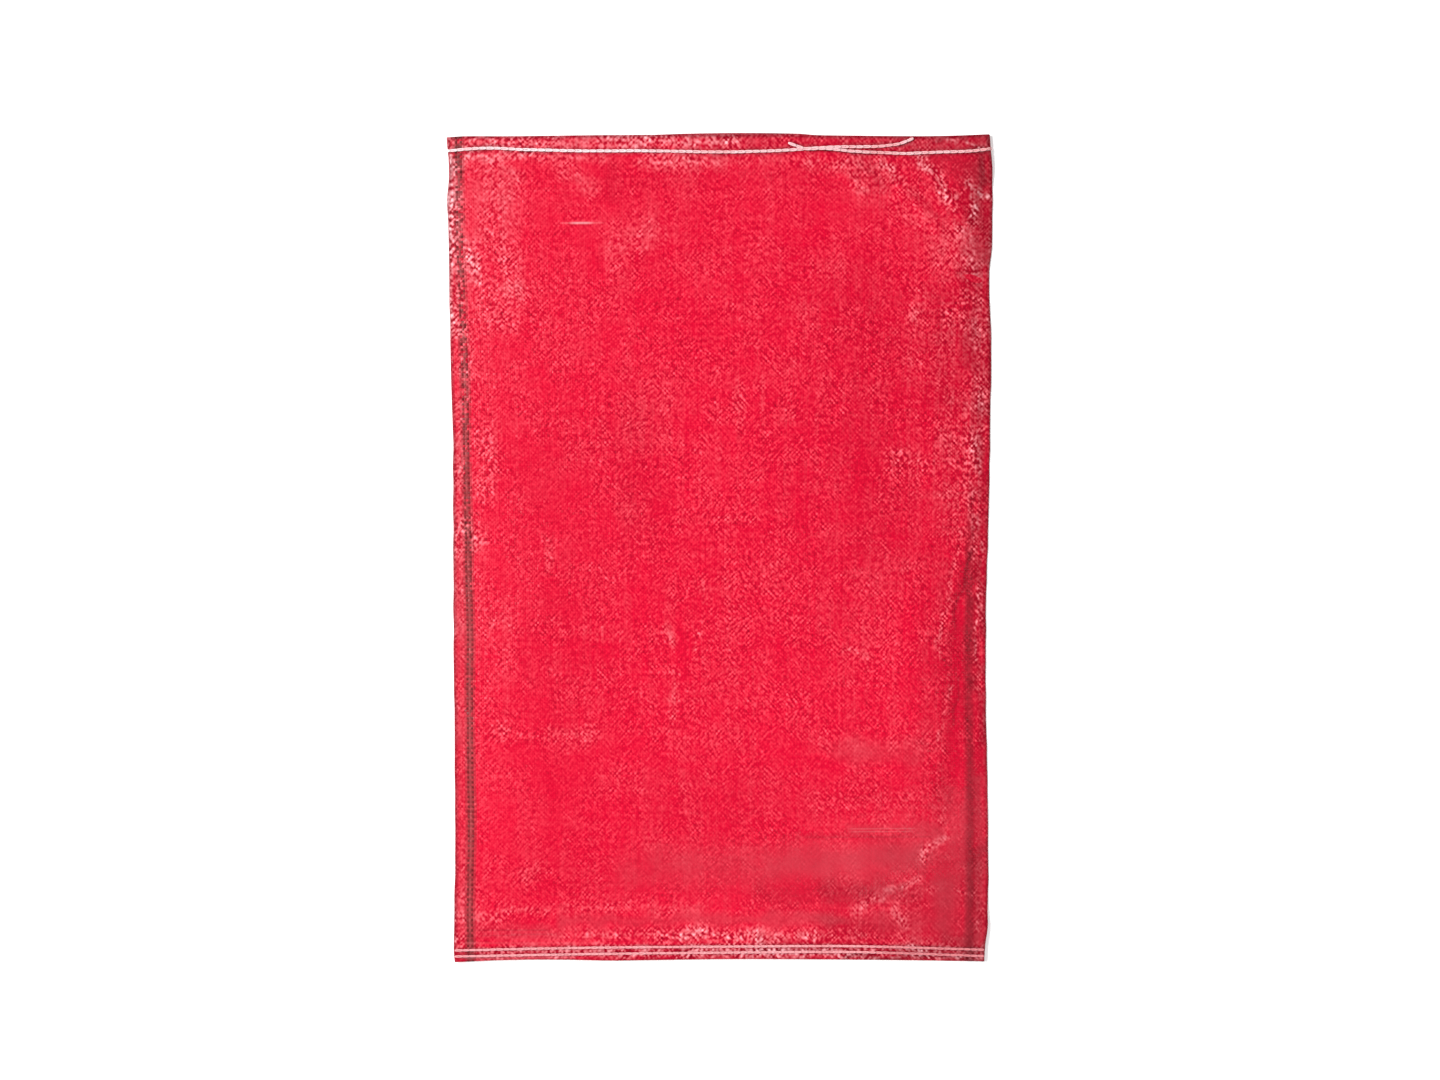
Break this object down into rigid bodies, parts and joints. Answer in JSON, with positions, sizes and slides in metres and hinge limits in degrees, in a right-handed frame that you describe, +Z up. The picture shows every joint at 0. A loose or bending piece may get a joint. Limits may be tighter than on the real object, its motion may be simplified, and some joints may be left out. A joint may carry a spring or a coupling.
{
  "type": "woven polypropylene sack",
  "caption": "Empty flat woven sack for bulk goods, open at a hemmed, stitched mouth and closed by a folded, sewn bottom.",
  "frame": {"origin": "on the floor under the middle of the lying sack's bounding box", "axes": "+Y towards the mouth, +X to the right seen from above, +Z up out of the front"},
  "size_m": [0.5633, 0.8546, 0.0227],
  "materials": {
    "red_woven_tape": "plain weave of flat plastic tape, satin, with dark tracer tapes beside the side folds",
    "white_sewing_thread": "spun multi-ply chain-stitch thread, matt"
  },
  "bodies": {
    "root": {"sack_body": "red_woven_tape", "mouth_stitch": "white_sewing_thread", "bottom_stitch_upper_front": "white_sewing_thread", "bottom_stitch_upper_back": "white_sewing_thread", "bottom_stitch_lower_front": "white_sewing_thread", "bottom_stitch_lower_back": "white_sewing_thread"}
  },
  "joints": []
}
